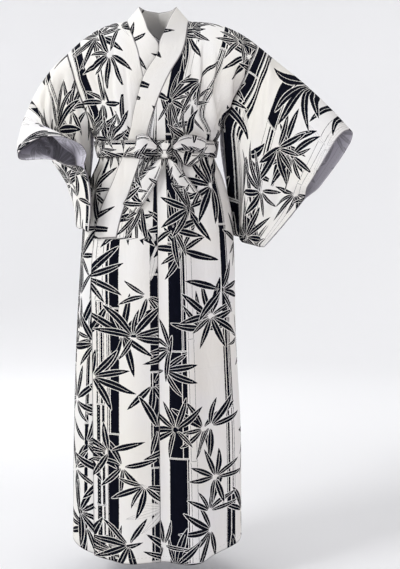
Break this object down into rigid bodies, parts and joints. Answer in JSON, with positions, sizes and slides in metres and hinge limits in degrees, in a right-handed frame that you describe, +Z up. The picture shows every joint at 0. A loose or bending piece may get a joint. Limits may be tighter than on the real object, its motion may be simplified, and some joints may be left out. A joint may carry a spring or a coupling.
{
  "type": "cotton yukata robe, worn form",
  "caption": "Worn, hollow cotton yukata robe with wide hanging sleeves, left front over right, collar band, and a narrow belt tied in a bow.",
  "frame": {"origin": "base of the neck, on the middle line between the shoulders, 1.43 m above the hem's lowest line, where the wearer's shoulders hold the robe up", "axes": "+Z up, -Y the way the wearer faces, +X the wearer's left"},
  "size_m": [0.8895, 0.4276, 1.5046],
  "materials": {
    "cotton": "matt plain weave"
  },
  "bodies": {
    "root": {"body_left": "cotton", "body_right": "cotton", "okumi_left": "cotton", "okumi_right": "cotton", "sleeve_left": "cotton", "sleeve_right": "cotton", "collar": "cotton", "belt_band": "cotton", "belt_knot": "cotton", "belt_loop_left": "cotton", "belt_loop_right": "cotton", "belt_tail_left": "cotton", "belt_tail_right": "cotton"}
  },
  "joints": []
}
